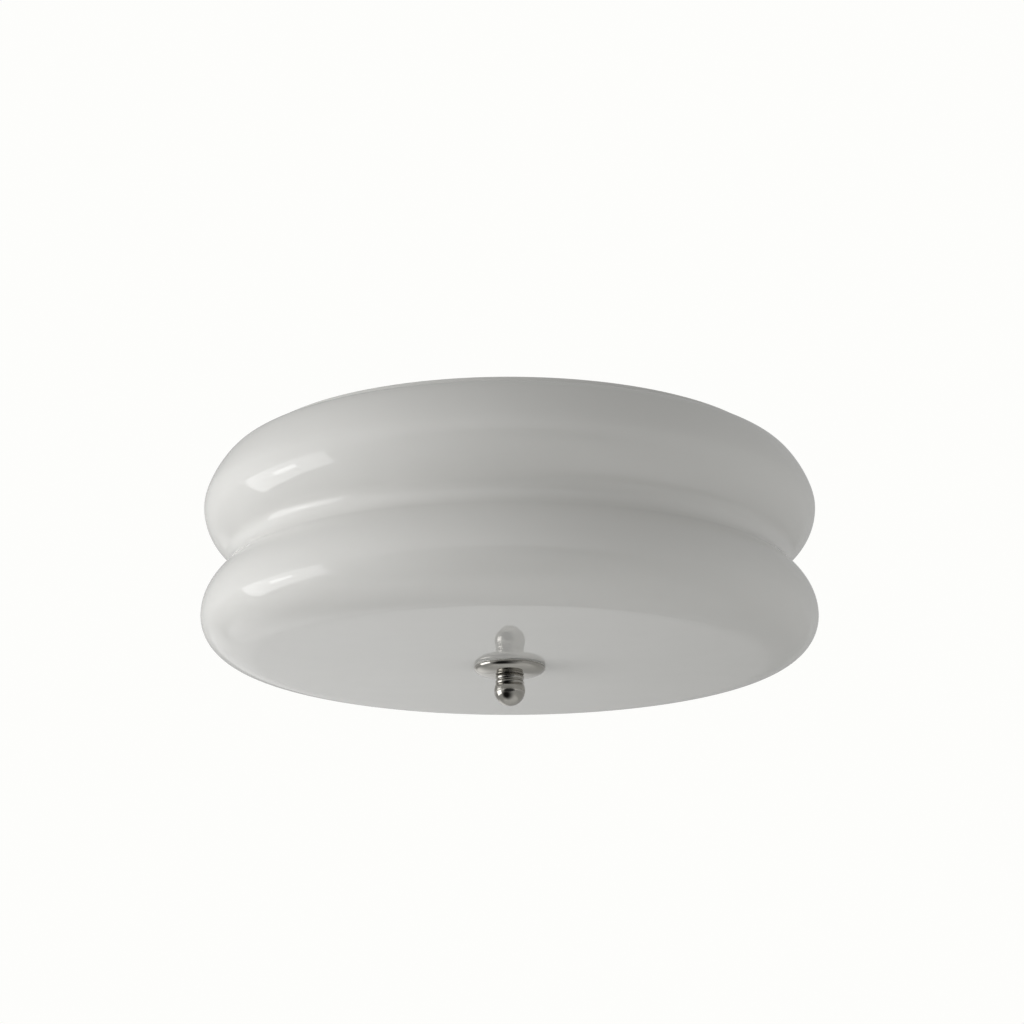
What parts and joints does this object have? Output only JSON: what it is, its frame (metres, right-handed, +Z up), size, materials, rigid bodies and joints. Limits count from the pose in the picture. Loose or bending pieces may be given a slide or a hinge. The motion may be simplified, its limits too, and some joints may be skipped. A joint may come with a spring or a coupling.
{
  "type": "flush mount ceiling light",
  "caption": "Round flush mount ceiling light: double bulged opal glass shade hung from a centre rod by a nickel ball finial, over a ceiling pan with lampholders.",
  "frame": {"origin": "centre of the ceiling plane, on the top face of the mounting bracket midway between its two slots", "axes": "+Z up into the ceiling, the light hangs below z = 0; +X along the mounting bracket; the picture looks along +Y from below"},
  "size_m": [0.3567, 0.3568, 0.1454],
  "materials": {
    "opal_glass": "polished opal",
    "polished_nickel": "polished",
    "white_enamel": "gloss",
    "zinc_steel": "zinc plated",
    "earth_green": "green dyed",
    "brass_tube": "satin",
    "brass": "bright",
    "white_foam": "foam",
    "black_rubber": "matt",
    "clear_silicone": "translucent",
    "porcelain": "glazed",
    "block_plastic": "moulded",
    "bulb_glass": "opal",
    "bulb_cap_alloy": "satin",
    "black_glass": "gloss",
    "tin": "soldered"
  },
  "bodies": {
    "ceiling_assembly": {"mounting_bracket": "zinc_steel", "pan_screws": "zinc_steel", "cap_nuts": "polished_nickel", "earth_screw": "earth_green", "earth_washer": "zinc_steel", "ceiling_pan": "white_enamel", "rim_gasket": "white_foam", "cable_grommet": "black_rubber", "centre_rod": "brass_tube", "rod_nuts": "zinc_steel", "rod_washers": "zinc_steel", "lampholder_bracket": "zinc_steel", "lampholder_screws": "zinc_steel", "terminal_block": "block_plastic", "terminal_sleeves": "brass", "terminal_screws": "zinc_steel", "block_screws": "zinc_steel", "lampholder_1": "porcelain", "lampholder_sleeve_1": "brass", "lampholder_contact_1": "brass", "lampholder_2": "porcelain", "lampholder_sleeve_2": "brass", "lampholder_contact_2": "brass", "lampholder_3": "porcelain", "lampholder_sleeve_3": "brass", "lampholder_contact_3": "brass"},
    "bulb_1": {"bulb_glass_1": "bulb_glass", "bulb_cap_1": "bulb_cap_alloy", "bulb_insulator_1": "black_glass", "bulb_contact_1": "tin"},
    "bulb_2": {"bulb_glass_2": "bulb_glass", "bulb_cap_2": "bulb_cap_alloy", "bulb_insulator_2": "black_glass", "bulb_contact_2": "tin"},
    "bulb_3": {"bulb_glass_3": "bulb_glass", "bulb_cap_3": "bulb_cap_alloy", "bulb_insulator_3": "black_glass", "bulb_contact_3": "tin"},
    "shade": {"glass_shade": "opal_glass", "hole_bush": "clear_silicone"},
    "check_ring": {"check_ring": "polished_nickel", "seat_washer": "clear_silicone"},
    "finial": {"finial": "polished_nickel"}
  },
  "joints": [
    {"name": "bulb_1_out", "type": "slide", "parent": "ceiling_assembly", "child": "bulb_1", "axis": [0, 1, 0], "range_m": [0, 0.025]},
    {"name": "bulb_2_out", "type": "slide", "parent": "ceiling_assembly", "child": "bulb_2", "axis": [-0.866, -0.5, 0], "range_m": [0, 0.025]},
    {"name": "bulb_3_out", "type": "slide", "parent": "ceiling_assembly", "child": "bulb_3", "axis": [0.866, -0.5, 0], "range_m": [0, 0.025]},
    {"name": "shade_drop", "type": "slide", "parent": "ceiling_assembly", "child": "shade", "axis": [0, 0, -1], "range_m": [0, 0.17]},
    {"name": "finial_travel", "type": "slide", "parent": "shade", "child": "check_ring", "axis": [0, 0, -1], "range_m": [0, 0.01]},
    {"name": "finial_turn", "type": "hinge", "parent": "check_ring", "child": "finial", "pos_m": [0, 0, -0.1365], "axis": [0, 0, -1], "range_deg": [0, 3600]}
  ],
  "couplings": [
    {"joint": "finial_travel", "follows": "finial_turn", "m_per_rad": 0.00015915}
  ]
}
